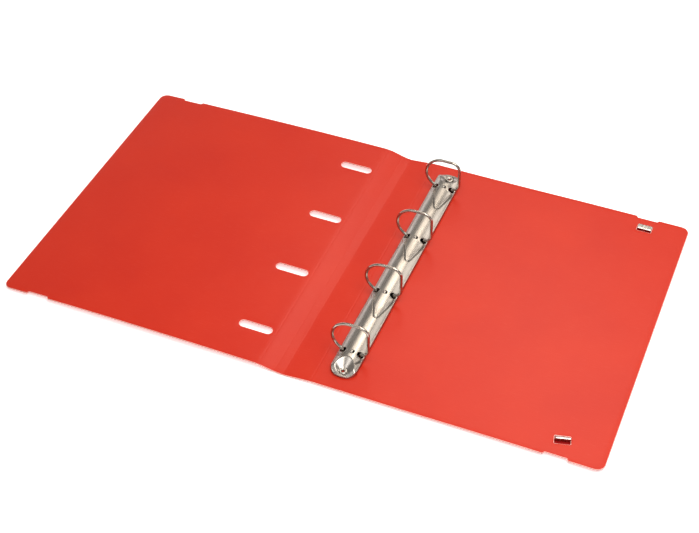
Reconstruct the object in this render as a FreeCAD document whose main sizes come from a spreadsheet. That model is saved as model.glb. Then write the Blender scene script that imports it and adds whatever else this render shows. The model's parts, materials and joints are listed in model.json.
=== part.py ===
"""Four-ring presentation binder in creased polypropylene, lying open on a table.

The document holds one object per physical piece.  Lengths are in millimetres.  The frame has
its origin on the table under the middle of the opened binder: +X runs from the front cover to
the back cover, +Y runs along the spine and +Z points up.

Every panel has its crease on its own local Y axis, with the inner face at local z = 0, because
the creases fold about the line where the inner faces of two panels meet.
"""
import FreeCAD, Part
import math
import os
import Sketcher

Vector = FreeCAD.Vector
Rotation = FreeCAD.Rotation
Placement = FreeCAD.Placement

SIDEWAYS = Vector(0, 1, 0)
POSITIVE_X = 1
NEGATIVE_X = -1

DIMENSIONS = [
    # covers and spine
    ("cover_height", 320.0, "covers and spine, along the spine"),
    ("cover_width", 262.5, "crease to fore-edge, both covers"),
    ("corner_radius", 8.0, "outer corners of the covers"),
    ("sheet_thickness", 1.2, "polypropylene sheet"),
    ("rear_panel_width", 26.4, "spine panel beside the back cover"),
    ("centre_strip_width", 8.6, "narrow strip in the middle of the spine"),
    ("front_panel_width", 15.8, "spine panel beside the front cover"),
    ("crease_half_gap", 0.3, "panel edge to crease line"),
    ("web_thickness", 0.4, "thinned sheet left in a crease"),
    ("floor_gap", 0.05, "table to the spine's lowest crease"),
    ("middle_crease_rise", 2.6, "inner face above the table at the front middle crease"),
    ("front_crease_rise", 6.5, "inner face above the table at the front crease"),
    # cut-outs in the covers
    ("slot_length", 32.0, "ring slot across the front cover, end to end"),
    ("slot_width", 8.0, "ring slot"),
    ("slot_inset", 4.5, "front crease to the slot's near end"),
    ("notch_length", 22.5, "strap notch at the cover's edge"),
    ("notch_depth", 2.3, "strap notch"),
    ("notch_slope", 2.0, "run of a notch's sloping end"),
    ("back_notch_inset", 30.0, "fore-edge to the notch, back cover"),
    ("front_notch_inset", 26.0, "fore-edge to the notch, front cover"),
    # ring mechanism
    ("ring_pitch", 80.0, "ring to ring"),
    ("housing_inset", 22.6, "rear crease to the middle of the housing"),
    ("housing_width", 24.2, "outside"),
    ("housing_crown", 8.5, "top of the arch above the cover"),
    ("housing_side", 4.0, "side wall above the cover"),
    ("housing_wall", 0.9, "steel thickness"),
    ("housing_lip", 1.6, "bottom lip that carries the hinge plates"),
    ("housing_near_reach", 146.0, "middle of the spine to the near end"),
    ("housing_far_reach", 146.5, "middle of the spine to the far end"),
    ("near_end_flat", 3.2, "straight part across the housing's near end"),
    ("far_end_flat", 4.2, "straight part across the housing's far end"),
    ("nose_length", 20.0, "closed part of the housing at each end"),
    ("nose_slope", 12.0, "run over which each end comes down"),
    ("nose_lip", 2.0, "level rim at each end"),
    ("seat_height", 2.2, "rivet seat above the cover"),
    ("seat_radius", 4.0, "level floor of the dished rivet seat"),
    ("dish_radius", 12.5, "dished rivet seat where it reaches the crown"),
    ("leg_inset", 3.6, "ring leg to the housing's outer side"),
    ("leg_opening_width", 6.4, "opening round a ring leg, across"),
    ("leg_opening_length", 6.6, "opening round a ring leg, along"),
    ("plate_thickness", 0.9, "hinge plate"),
    ("plate_edge_gap", 0.4, "hinge plate to the housing's side wall"),
    ("plate_middle_gap", 0.1, "hinge plate to the middle of the housing"),
    ("plate_end_gap", 1.5, "hinge plate to the end of the hollow"),
    ("plate_pivot_height", 1.9, "hinge plate's outer edge above the cover"),
    ("plate_tilt", 3.0, "closed hinge plate, degrees below level"),
    # rings
    ("wire_diameter", 2.8, "ring wire"),
    ("left_radius", 17.2, "round half, wire centre"),
    ("left_centre_offset", 1.1, "round half's centre to the middle of the housing"),
    ("left_entry_rise", 0.8, "round half's turn-in above the housing's crown, wire centre"),
    ("right_reach", 15.9, "straight side to the middle of the housing, wire centre"),
    ("right_corner", 8.5, "upper corner of the straight half, wire centre"),
    ("right_entry_rise", -0.4, "straight half's turn-in above the housing's crown, wire centre"),
    ("right_wrap", 70.0, "turn of the straight half's lower bend, degrees"),
    ("left_leg_bend", 1.8, "bend into the left leg, wire centre"),
    ("right_leg_bend", 3.0, "bend into the right leg, wire centre"),
    ("leg_foot", 1.0, "leg's lower end above the cover"),
    ("tip_gap", 0.05, "ring tip to the middle of the housing"),
    # rivets
    ("rivet_near_reach", 139.5, "middle of the spine to the near rivet"),
    ("rivet_far_reach", 139.5, "middle of the spine to the far rivet"),
    ("rivet_radius", 2.2, "barrel"),
    ("rivet_bore", 1.2, "hole down the barrel, radius"),
    ("rivet_flange_radius", 3.6, "rolled head"),
    ("rivet_flange_height", 0.8, "rolled head"),
    ("rivet_clearance", 0.05, "barrel to the holes it passes through"),
    ("cap_radius", 6.0, "outer cap under the cover"),
    ("cap_floor", 0.8, "closed bottom of the outer cap"),
    ("cap_chamfer", 0.6, "lower edge of the outer cap"),
    # strap
    ("cord_diameter", 2.5, "round elastic strap, which also props the cover"),
    ("anchor_inset", 41.0, "fore-edge to the strap's ends"),
    ("anchor_near_reach", 138.2, "middle of the spine to the near strap end"),
    ("anchor_far_reach", 145.2, "middle of the spine to the far strap end"),
    ("anchor_slot_length", 13.6, "punched slot, across"),
    ("anchor_slot_width", 8.4, "punched slot, along the spine"),
    ("anchor_slot_shift", 1.6, "slot's middle nearer than the bar's"),
    ("anchor_corner", 0.8, "corner of the punched slot"),
    ("bar_length", 15.0, "metal end bar of the strap"),
    ("bar_width", 6.0, "metal end bar of the strap"),
    ("bar_height", 1.7, "metal end bar of the strap"),
    ("bar_edge", 0.5, "rounded edges of the end bar"),
    ("near_bar_turn", 15.0, "twist of the near bar, degrees"),
    ("near_bar_tilt", 25.0, "near bar leaning away from the near edge, degrees"),
    ("near_bar_rise", 1.3, "near bar lifted off the cover"),
]

doc = FreeCAD.newDocument("RingBinder")
sheet = doc.addObject("Spreadsheet::Sheet", "sheet")


# --------------------------------------------------------------------------- sizes

class Size:
    """A length that knows both its value and the sheet formula it comes from."""

    def __init__(self, value, formula):
        self.value = float(value)
        self.formula = formula

    def __add__(self, other):
        other = as_size(other)
        return Size(self.value + other.value, f"({self.formula} + {other.formula})")

    def __sub__(self, other):
        other = as_size(other)
        return Size(self.value - other.value, f"({self.formula} - {other.formula})")

    def __mul__(self, other):
        other = as_size(other)
        return Size(self.value * other.value, f"({self.formula} * {other.formula})")

    def __truediv__(self, other):
        other = as_size(other)
        return Size(self.value / other.value, f"({self.formula} / {other.formula})")

    def __neg__(self):
        return self * -1

    def root(self):
        return Size(math.sqrt(self.value), f"sqrt({self.formula})")


def as_size(number):
    return number if isinstance(number, Size) else Size(number, f"({float(number):.10f})")


def dimension(alias):
    """The sheet cell with this alias."""
    return Size(sheet.get(alias), f"sheet.{alias}")


def bind(item, prop, size):
    """Tie one property of an object to its sheet formula."""
    size = as_size(size)
    if "." not in prop:
        setattr(item, prop, size.value)
    item.setExpression(prop, size.formula)


def fill_sheet():
    for row, (alias, value, note) in enumerate(DIMENSIONS, start=1):
        sheet.set(f"A{row}", alias)
        sheet.set(f"B{row}", str(value))
        sheet.set(f"C{row}", note)
        sheet.setAlias(f"B{row}", alias)
    doc.recompute()


# --------------------------------------------------------------------------- sketches and features

def add_sketch(body, name, role):
    """A sketch on one of the body's own origin planes."""
    sketch = body.newObject("Sketcher::SketchObject", name)
    plane = next(p for p in body.Origin.OriginFeatures if p.Role == role)
    sketch.AttachmentSupport = [(plane, "")]
    sketch.MapMode = "FlatFace"
    return sketch


def hold_point(sketch, index, position, x, y):
    """Fix one point of a sketch element by its two coordinates."""
    for kind, size in (("DistanceX", x), ("DistanceY", y)):
        if size is None:
            continue
        size = as_size(size)
        number = sketch.addConstraint(Sketcher.Constraint(kind, -1, 1, index, position, size.value))
        sketch.setExpression(f"Constraints[{number}]", size.formula)


def trace(sketch, start, steps, closed=True):
    """Draw lines and arcs through bound corners.

    Each step is ("line", corner) or ("arc", corner, centre, turn), where turn is +1 for an arc
    that runs counter-clockwise and -1 for one that runs clockwise.
    """
    corner = (as_size(start[0]), as_size(start[1]))
    drawn = []
    for step in steps:
        target = (as_size(step[1][0]), as_size(step[1][1]))
        here = Vector(corner[0].value, corner[1].value, 0)
        there = Vector(target[0].value, target[1].value, 0)
        if step[0] == "line":
            index = sketch.addGeometry(Part.LineSegment(here, there))
            ends = (1, 2)
        else:
            centre = (as_size(step[2][0]), as_size(step[2][1]))
            middle = Vector(centre[0].value, centre[1].value, 0)
            first, last = (here, there) if step[3] > 0 else (there, here)
            ends = (1, 2) if step[3] > 0 else (2, 1)
            angles = [math.atan2(p.y - middle.y, p.x - middle.x) for p in (first, last)]
            if angles[1] <= angles[0]:
                angles[1] += 2 * math.pi
            circle = Part.Circle(middle, Vector(0, 0, 1), (first - middle).Length)
            index = sketch.addGeometry(Part.ArcOfCircle(circle, angles[0], angles[1]))
            chord = there - here
            if abs(chord.y) >= abs(chord.x):
                hold_point(sketch, index, 3, centre[0], None)
            else:
                hold_point(sketch, index, 3, None, centre[1])
        drawn.append((index, ends))
        hold_point(sketch, index, ends[0], corner[0], corner[1])
        corner = target
    for (one, one_ends), (two, two_ends) in zip(drawn, drawn[1:]):
        sketch.addConstraint(Sketcher.Constraint("Coincident", one, one_ends[1], two, two_ends[0]))
    last, last_ends = drawn[-1]
    if closed:
        first, first_ends = drawn[0]
        sketch.addConstraint(Sketcher.Constraint("Coincident", last, last_ends[1], first, first_ends[0]))
    else:
        hold_point(sketch, last, last_ends[1], corner[0], corner[1])


def trace_box(sketch, low, high):
    """An upright rectangle from its low corner to its high corner."""
    trace(sketch, low, [
        ("line", (high[0], low[1])),
        ("line", high),
        ("line", (low[0], high[1])),
        ("line", low),
    ])


def trace_rounded_box(sketch, low, high, radius):
    """An upright rectangle with four equal round corners."""
    left, front = as_size(low[0]), as_size(low[1])
    right, rear = as_size(high[0]), as_size(high[1])
    trace(sketch, (left + radius, front), [
        ("line", (right - radius, front)),
        ("arc", (right, front + radius), (right - radius, front + radius), 1),
        ("line", (right, rear - radius)),
        ("arc", (right - radius, rear), (right - radius, rear - radius), 1),
        ("line", (left + radius, rear)),
        ("arc", (left, rear - radius), (left + radius, rear - radius), 1),
        ("line", (left, front + radius)),
        ("arc", (left + radius, front), (left + radius, front + radius), 1),
    ])


def trace_slot_across(sketch, middle_x, middle_y, length, width):
    """A slot with round ends whose long side runs along the sketch's X axis."""
    radius = width / 2
    run = length / 2 - radius
    trace(sketch, (middle_x - run, middle_y - radius), [
        ("line", (middle_x + run, middle_y - radius)),
        ("arc", (middle_x + run, middle_y + radius), (middle_x + run, middle_y), 1),
        ("line", (middle_x - run, middle_y + radius)),
        ("arc", (middle_x - run, middle_y - radius), (middle_x - run, middle_y), 1),
    ])


def trace_slot_along(sketch, middle_x, middle_y, length, width):
    """A slot with round ends whose long side runs along the sketch's Y axis."""
    radius = width / 2
    run = length / 2 - radius
    trace(sketch, (middle_x + radius, middle_y - run), [
        ("line", (middle_x + radius, middle_y + run)),
        ("arc", (middle_x - radius, middle_y + run), (middle_x, middle_y + run), 1),
        ("line", (middle_x - radius, middle_y - run)),
        ("arc", (middle_x + radius, middle_y - run), (middle_x, middle_y - run), 1),
    ])


def trace_circle(sketch, x, y, radius):
    index = sketch.addGeometry(Part.Circle(Vector(as_size(x).value, as_size(y).value, 0),
                                           Vector(0, 0, 1), radius.value))
    hold_point(sketch, index, 3, x, y)
    number = sketch.addConstraint(Sketcher.Constraint("Radius", index, radius.value))
    sketch.setExpression(f"Constraints[{number}]", radius.formula)


def pad(body, sketch, length, reverse=False, symmetric=False, other_length=None):
    feature = body.newObject("PartDesign::Pad", sketch.Name + "_pad")
    feature.Profile = sketch
    bind(feature, "Length", length)
    feature.Reversed = reverse
    if symmetric:
        feature.SideType = "Symmetric"
    if other_length is not None:
        feature.SideType = "Two sides"
        bind(feature, "Length2", other_length)
    return feature


def pocket(body, sketch, length, reverse=False, other_length=None):
    """Cut the body; symmetric about the sketch unless a length for each side is given."""
    doc.recompute()
    before = body.Shape.Volume
    feature = body.newObject("PartDesign::Pocket", sketch.Name + "_cut")
    feature.Profile = sketch
    bind(feature, "Length", length)
    feature.Reversed = reverse
    feature.SideType = "Symmetric"
    if other_length is not None:
        feature.SideType = "Two sides"
        bind(feature, "Length2", other_length)
    doc.recompute()
    if not body.Shape.Volume < before:
        raise RuntimeError(f"{body.Label}: {feature.Name} removed nothing")
    return feature


def soften(body, kind, prop, size, base, choose):
    """Fillet or chamfer the edges of a feature that a test picks out."""
    doc.recompute()
    names = [f"Edge{i}" for i, edge in enumerate(base.Shape.Edges, start=1) if choose(edge)]
    feature = body.newObject("PartDesign::" + kind, f"{body.Name}_{kind.lower()}")
    feature.Base = (base, names)
    bind(feature, prop, size)
    return feature


def new_body(label):
    body = doc.addObject("PartDesign::Body", label)
    body.Label = label
    return body


# --------------------------------------------------------------------------- covers and spine

def cover_outline(sketch, side, notch_inset):
    """Cover from its crease at x = 0 to the fore-edge, with two strap notches."""
    half = dimension("cover_height") / 2
    width = dimension("cover_width")
    radius = dimension("corner_radius")
    depth = dimension("notch_depth")
    slope = dimension("notch_slope")
    inner = dimension("crease_half_gap") * side
    outer = width * side
    bend = (width - radius) * side
    notch_far = (width - notch_inset) * side
    notch_near = (width - notch_inset - dimension("notch_length")) * side
    floor_far = (width - notch_inset - slope) * side
    floor_near = (width - notch_inset - dimension("notch_length") + slope) * side
    trace(sketch, (inner, -half), [
        ("line", (notch_near, -half)),
        ("line", (floor_near, depth - half)),
        ("line", (floor_far, depth - half)),
        ("line", (notch_far, -half)),
        ("line", (bend, -half)),
        ("arc", (outer, radius - half), (bend, radius - half), side),
        ("line", (outer, half - radius)),
        ("arc", (bend, half), (bend, half - radius), side),
        ("line", (notch_far, half)),
        ("line", (floor_far, half - depth)),
        ("line", (floor_near, half - depth)),
        ("line", (notch_near, half)),
        ("line", (inner, half)),
        ("line", (inner, -half)),
    ])


def make_back_cover():
    body = new_body("back_cover")
    thickness = dimension("sheet_thickness")
    outline = add_sketch(body, "back_outline", "XY_Plane")
    cover_outline(outline, POSITIVE_X, dimension("back_notch_inset"))
    pad(body, outline, thickness, reverse=True)

    rivet_holes = add_sketch(body, "back_rivet_holes", "XY_Plane")
    hole = dimension("rivet_radius") + dimension("rivet_clearance")
    trace_circle(rivet_holes, dimension("housing_inset"), -dimension("rivet_near_reach"), hole)
    trace_circle(rivet_holes, dimension("housing_inset"), dimension("rivet_far_reach"), hole)
    pocket(body, rivet_holes, thickness * 4)

    anchor_slots = add_sketch(body, "back_anchor_slots", "XY_Plane")
    middle_x = dimension("cover_width") - dimension("anchor_inset")
    half_length = dimension("anchor_slot_length") / 2
    half_width = dimension("anchor_slot_width") / 2
    for end in (-dimension("anchor_near_reach"), dimension("anchor_far_reach")):
        middle_y = end - dimension("anchor_slot_shift")
        low = (middle_x - half_length, middle_y - half_width)
        high = (middle_x + half_length, middle_y + half_width)
        trace_rounded_box(anchor_slots, low, high, dimension("anchor_corner"))
    pocket(body, anchor_slots, thickness * 4)
    return body


def make_front_cover():
    body = new_body("front_cover")
    thickness = dimension("sheet_thickness")
    outline = add_sketch(body, "front_outline", "XY_Plane")
    cover_outline(outline, NEGATIVE_X, dimension("front_notch_inset"))
    pad(body, outline, thickness, reverse=True)

    slots = add_sketch(body, "front_ring_slots", "XY_Plane")
    middle_x = -dimension("slot_inset") - dimension("slot_length") / 2
    for step in RING_STEPS:
        trace_slot_across(slots, middle_x, dimension("ring_pitch") * step,
                          dimension("slot_length"), dimension("slot_width"))
    pocket(body, slots, thickness * 4)
    return body


def make_spine_panel(label, width):
    """Spine panel that reaches from its own crease at x = 0 to the next one."""
    body = new_body(label)
    half = dimension("cover_height") / 2
    gap = dimension("crease_half_gap")
    outline = add_sketch(body, label + "_outline", "XY_Plane")
    trace_box(outline, (gap - width, -half), (-gap, half))
    pad(body, outline, dimension("sheet_thickness"), reverse=True)
    return body


def make_crease_web(label, fold):
    """Thin strip of sheet in a crease; fold is the angle between its panels, in radians.

    The strip is flush with the inner faces and its sides lie against the panels' edges.
    """
    web = doc.addObject("Part::Wedge", label)
    web.Label = label
    gap = dimension("crease_half_gap")
    thickness = dimension("web_thickness")
    top = gap / math.cos(fold / 2)
    bottom = (gap + thickness * math.sin(fold / 2)) / math.cos(fold / 2)
    bind(web, "Xmin", -bottom)
    bind(web, "Xmax", bottom)
    bind(web, "X2min", -top)
    bind(web, "X2max", top)
    bind(web, "Ymin", -thickness)
    bind(web, "Ymax", 0)
    for low, high in (("Zmin", "Zmax"), ("Z2min", "Z2max")):
        bind(web, low, -dimension("cover_height") / 2)
        bind(web, high, dimension("cover_height") / 2)
    return web


# --------------------------------------------------------------------------- ring mechanism

def arch(sketch, half_width, foot, side, top_centre, radius):
    """Arched section: a flat foot, two side walls and a round top."""
    trace(sketch, (-half_width, foot), [
        ("line", (half_width, foot)),
        ("line", (half_width, side)),
        ("arc", (-half_width, side), (0, top_centre), 1),
        ("line", (-half_width, foot)),
    ])


def leg_offset():
    """Ring leg to the middle of the housing."""
    return dimension("housing_width") / 2 - dimension("leg_inset")


def make_ring_housing():
    body = new_body("ring_housing")
    half_width = dimension("housing_width") / 2
    side = dimension("housing_side")
    crown = dimension("housing_crown")
    wall = dimension("housing_wall")
    near = dimension("housing_near_reach")
    far = dimension("housing_far_reach")
    nose = dimension("nose_length")
    top_centre = (half_width * half_width + side * side - crown * crown) / ((side - crown) * 2)
    radius = crown - top_centre

    section = add_sketch(body, "housing_section", "XZ_Plane")
    arch(section, half_width, 0, side, top_centre, radius)
    pad(body, section, near, other_length=far)

    ends = add_sketch(body, "housing_end_slopes", "YZ_Plane")
    seat = dimension("seat_height")
    lip = dimension("nose_lip")
    slope = dimension("nose_slope")
    for reach, way in ((near, -1), (far, 1)):
        trace(ends, ((reach + 1) * way, seat), [
            ("line", ((reach - lip) * way, seat)),
            ("line", ((reach - lip - slope) * way, crown)),
            ("line", ((reach - lip - slope) * way, crown + 1)),
            ("line", ((reach + 1) * way, crown + 1)),
            ("line", ((reach + 1) * way, seat)),
        ])
    pocket(body, ends, half_width * 4)

    for name, middle in (("near", -dimension("rivet_near_reach")), ("far", dimension("rivet_far_reach"))):
        cut_dish(body, f"housing_{name}_dish", middle)

    plan = add_sketch(body, "housing_plan", "XY_Plane")
    near_corner = half_width - dimension("near_end_flat") / 2
    far_corner = half_width - dimension("far_end_flat") / 2
    trace(plan, (near_corner - half_width, -near), [
        ("line", (half_width - near_corner, -near)),
        ("arc", (half_width, near_corner - near), (half_width - near_corner, near_corner - near), 1),
        ("line", (half_width, far - far_corner)),
        ("arc", (half_width - far_corner, far), (half_width - far_corner, far - far_corner), 1),
        ("line", (far_corner - half_width, far)),
        ("arc", (-half_width, far - far_corner), (far_corner - half_width, far - far_corner), 1),
        ("line", (-half_width, near_corner - near)),
        ("arc", (near_corner - half_width, -near), (near_corner - half_width, near_corner - near), 1),
    ])
    trace_box(plan, (-half_width - 2, -near - 2), (half_width + 2, far + 2))
    pocket(body, plan, crown * 4)

    hollow = add_sketch(body, "housing_hollow", "XZ_Plane")
    inner = half_width - wall
    mouth = inner - dimension("housing_lip")
    inner_radius = radius - wall
    shoulder = top_centre + (inner_radius * inner_radius - inner * inner).root()
    trace(hollow, (-mouth, -1), [
        ("line", (mouth, -1)),
        ("line", (mouth, wall)),
        ("line", (inner, wall)),
        ("line", (inner, shoulder)),
        ("arc", (-inner, shoulder), (0, top_centre), 1),
        ("line", (-inner, wall)),
        ("line", (-mouth, wall)),
        ("line", (-mouth, -1)),
    ])
    pocket(body, hollow, far - nose, other_length=near - nose)

    openings = add_sketch(body, "housing_leg_openings", "XY_Plane")
    for step in RING_STEPS:
        for way in (-1, 1):
            trace_slot_along(openings, leg_offset() * way, dimension("ring_pitch") * step,
                             dimension("leg_opening_length"), dimension("leg_opening_width"))
    pocket(body, openings, crown * 4)

    rivet_holes = add_sketch(body, "housing_rivet_holes", "XY_Plane")
    hole = dimension("rivet_radius") + dimension("rivet_clearance")
    trace_circle(rivet_holes, 0, -dimension("rivet_near_reach"), hole)
    trace_circle(rivet_holes, 0, dimension("rivet_far_reach"), hole)
    pocket(body, rivet_holes, crown * 4)
    return body


def cut_dish(body, name, middle):
    """Dish the housing round a rivet: a level seat with a conical wall up to the crown."""
    doc.recompute()
    before = body.Shape.Volume
    sketch = add_sketch(body, name, "YZ_Plane")
    axis = sketch.addGeometry(Part.LineSegment(Vector(middle.value, 0, 0), Vector(middle.value, 1, 0)), True)
    hold_point(sketch, axis, 1, middle, 0)
    hold_point(sketch, axis, 2, middle, 1)
    seat = dimension("seat_height")
    crown = dimension("housing_crown")
    floor = dimension("seat_radius")
    reach = dimension("dish_radius")
    run = (reach - floor) / (crown - seat)
    trace(sketch, (middle, seat), [
        ("line", (middle + floor, seat)),
        ("line", (middle + reach + run, crown + 1)),
        ("line", (middle, crown + 1)),
        ("line", (middle, seat)),
    ])
    groove = body.newObject("PartDesign::Groove", name + "_cut")
    groove.Profile = sketch
    groove.ReferenceAxis = (sketch, ["Axis0"])
    groove.Angle = 360
    doc.recompute()
    if not body.Shape.Volume < before:
        raise RuntimeError(f"{name} removed nothing")


def make_hinge_plate(label, side):
    """Hinge plate from its outer edge at x = 0 towards the middle of the housing."""
    body = new_body(label)
    pivot = plate_pivot_offset()
    nose = dimension("nose_length") + dimension("plate_end_gap")
    near = dimension("housing_near_reach") - nose
    far = dimension("housing_far_reach") - nose
    reach = pivot - dimension("plate_middle_gap")
    outline = add_sketch(body, label + "_outline", "XY_Plane")
    if side == NEGATIVE_X:
        trace_box(outline, (0, -near), (reach, far))
    else:
        trace_box(outline, (-reach, -near), (0, far))
    pad(body, outline, dimension("plate_thickness"), symmetric=True)

    holes = add_sketch(body, label + "_leg_holes", "XY_Plane")
    for step in RING_STEPS:
        trace_circle(holes, (pivot - leg_offset()) * -side,
                     dimension("ring_pitch") * step, dimension("wire_diameter") / 2)
    pocket(body, holes, dimension("plate_thickness") * 4)
    return body


def plate_pivot_offset():
    """Distance from the middle of the housing to a hinge plate's outer edge."""
    return dimension("housing_width") / 2 - dimension("housing_wall") - dimension("plate_edge_gap")


def left_turn_in_offset():
    """How far the round half's turn-in stands to the left of its centre: one bend outside the leg."""
    return leg_offset() + dimension("left_leg_bend") - dimension("left_centre_offset")


def ring_top():
    """Wire centre above the cover at the top of a ring, from the size of the round half."""
    radius = dimension("left_radius")
    offset = left_turn_in_offset()
    depth = (radius * radius - offset * offset).root()
    return dimension("housing_crown") + dimension("left_entry_rise") + depth + radius


def left_half_path(sketch):
    """Round half: from the tip over the left side and down into the housing."""
    top = ring_top()
    radius = dimension("left_radius")
    bend = dimension("left_leg_bend")
    leg = -leg_offset()
    offset = left_turn_in_offset()
    centre = (-dimension("left_centre_offset"), top - radius)
    turn_in = (centre[0] - offset, dimension("housing_crown") + dimension("left_entry_rise"))
    heading = -math.asin(offset.value / radius.value)
    leg_lead_in(sketch, leg, bend, turn_in, heading, -1, [
        ("line", (centre[0], top)),
        ("arc", turn_in, centre, 1),
    ], (-dimension("tip_gap"), top))


def right_half_path(sketch):
    """Straight half: from the tip round the corner, down the side and into the housing."""
    top = ring_top()
    reach = dimension("right_reach")
    corner = dimension("right_corner")
    bend = dimension("right_leg_bend")
    leg = leg_offset()
    wrap = math.radians(dimension("right_wrap").value)
    lower = (reach - leg - bend) / (1 - math.cos(wrap))
    turn_in = (leg + bend, dimension("housing_crown") + dimension("right_entry_rise"))
    foot = turn_in[1] + lower * math.sin(wrap)
    leg_lead_in(sketch, leg, bend, turn_in, -math.pi / 2 - wrap, 1, [
        ("line", (reach - corner, top)),
        ("arc", (reach, top - corner), (reach - corner, top - corner), -1),
        ("line", (reach, foot)),
        ("arc", turn_in, (reach - lower, foot), -1),
    ], (dimension("tip_gap"), top))


def leg_lead_in(sketch, leg, bend, turn_in, heading, turn, steps, start):
    """Draw a half ring whose wire arrives at turn_in and bends down into its upright leg."""
    side = -turn
    bend_start_x = leg - bend * (1 + math.sin(heading)) * side
    run = (bend_start_x - turn_in[0]) / math.cos(heading)
    bend_start = (bend_start_x, turn_in[1] + run * math.sin(heading))
    bend_centre = (leg - bend * side, bend_start[1] - bend * abs(math.cos(heading)))
    trace(sketch, start, steps + [
        ("line", bend_start),
        ("arc", (leg, bend_centre[1]), bend_centre, turn),
        ("line", (leg, dimension("leg_foot"))),
    ], closed=False)


def make_half_rings(label, draw_path, side):
    """The half rings of one side, numbered from the near end of the spine."""
    path = doc.addObject("Sketcher::SketchObject", label + "_path")
    path.Placement = Placement(Vector(), Rotation(Vector(1, 0, 0), 90))
    draw_path(path)
    wire = doc.addObject("Part::Circle", label + "_wire")
    wire.Placement = Placement(Vector(), Rotation(SIDEWAYS, 90))
    bind(wire, "Radius", dimension("wire_diameter") / 2)
    bind(wire, "Placement.Base.x", dimension("tip_gap") * side)
    bind(wire, "Placement.Base.z", ring_top())
    doc.recompute()
    edges = [f"Edge{i + 1}" for i in range(len(path.Shape.Edges))]
    rings = []
    for number in range(1, len(RING_STEPS) + 1):
        ring = doc.addObject("Part::Sweep", f"{label}_{number}")
        ring.Label = f"{label}_{number}"
        ring.Sections = [wire]
        ring.Spine = (path, edges)
        ring.Solid = True
        ring.Transition = "Right corner"
        rings.append(ring)
    return rings


def revolve(body, sketch):
    """Turn a sketch on the XZ plane a full round about the body's Z axis."""
    feature = body.newObject("PartDesign::Revolution", sketch.Name + "_turned")
    feature.Profile = sketch
    feature.ReferenceAxis = (sketch, ["V_Axis"])
    feature.Angle = 360
    return feature


def make_rivet(label):
    """Tubular rivet; z = 0 is the cover's inner face."""
    body = new_body(label)
    seat = dimension("seat_height")
    top = seat + dimension("rivet_flange_height")
    foot = dimension("cap_floor") - dimension("sheet_thickness") - dimension("cord_diameter")
    section = add_sketch(body, label + "_section", "XZ_Plane")
    trace(section, (dimension("rivet_bore"), foot), [
        ("line", (dimension("rivet_radius"), foot)),
        ("line", (dimension("rivet_radius"), seat)),
        ("line", (dimension("rivet_flange_radius"), seat)),
        ("line", (dimension("rivet_flange_radius"), seat + dimension("rivet_flange_height") / 2)),
        ("line", (dimension("rivet_flange_radius") - dimension("rivet_flange_height") / 2, top)),
        ("line", (dimension("rivet_bore"), top)),
        ("line", (dimension("rivet_bore"), foot)),
    ])
    revolve(body, section)
    return body


def make_rivet_cap(label):
    """Closed cap under the back cover; z = 0 is the table.

    The cap is as tall as the strap is thick, so the cover lies level on both.
    """
    body = new_body(label)
    height = dimension("cord_diameter")
    radius = dimension("cap_radius")
    bore = dimension("rivet_radius") + dimension("rivet_clearance")
    chamfer = dimension("cap_chamfer")
    section = add_sketch(body, label + "_section", "XZ_Plane")
    trace(section, (0, 0), [
        ("line", (radius - chamfer, 0)),
        ("line", (radius, chamfer)),
        ("line", (radius, height)),
        ("line", (bore, height)),
        ("line", (bore, dimension("cap_floor"))),
        ("line", (0, dimension("cap_floor"))),
        ("line", (0, 0)),
    ])
    revolve(body, section)
    return body


# --------------------------------------------------------------------------- strap

def make_elastic_strap():
    """Round elastic that runs flat under the back cover and up through both anchor slots."""
    near = dimension("anchor_near_reach")
    far = dimension("anchor_far_reach")
    height = dimension("cord_diameter") + dimension("sheet_thickness")
    bend = height - dimension("cord_diameter") / 2
    path = doc.addObject("Sketcher::SketchObject", "strap_path")
    path.Placement = Placement(Vector(), Rotation(Vector(1, 1, 1), 120))
    trace(path, (far, height), [
        ("arc", (far - bend, height - bend), (far - bend, height), -1),
        ("line", (bend - near, height - bend)),
        ("arc", (-near, height), (bend - near, height), -1),
        ("line", (-near, height + dimension("near_bar_rise") / 2)),
    ], closed=False)
    wire = doc.addObject("Part::Circle", "strap_section")
    bind(wire, "Radius", dimension("cord_diameter") / 2)
    bind(wire, "Placement.Base.y", far)
    bind(wire, "Placement.Base.z", height)
    doc.recompute()
    strap = doc.addObject("Part::Sweep", "elastic_strap")
    strap.Label = "elastic_strap"
    strap.Sections = [wire]
    strap.Spine = (path, [f"Edge{i + 1}" for i in range(len(path.Shape.Edges))])
    strap.Solid = True
    return strap


def make_strap_bar(label):
    """Metal bar on the strap's end; z = 0 is the cover's inner face."""
    body = new_body(label)
    half_length = dimension("bar_length") / 2
    half_width = dimension("bar_width") / 2
    outline = add_sketch(body, label + "_outline", "XY_Plane")
    trace_box(outline, (-half_length, -half_width), (half_length, half_width))
    block = pad(body, outline, dimension("bar_height"))
    top = dimension("bar_height").value

    def upper_edge(edge):
        return all(abs(v.Point.z - top) < 1e-6 for v in edge.Vertexes)

    def outer_edge(edge):
        return upper_edge(edge) or abs(edge.Vertexes[0].Point.z - edge.Vertexes[-1].Point.z) > 0.1

    soften(body, "Fillet", "Radius", dimension("bar_edge"), block, outer_edge)
    return body


# --------------------------------------------------------------------------- assembly

def place(item, x, y, z, tilt=0.0, turn=0.0):
    """Put a piece at a point, tilted about +Y (radians) and turned about +Z (degrees)."""
    rotation = Rotation(Vector(0, 0, 1), turn) * Rotation(SIDEWAYS, math.degrees(tilt))
    item.Placement = Placement(Vector(x, y, z), rotation)


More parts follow.
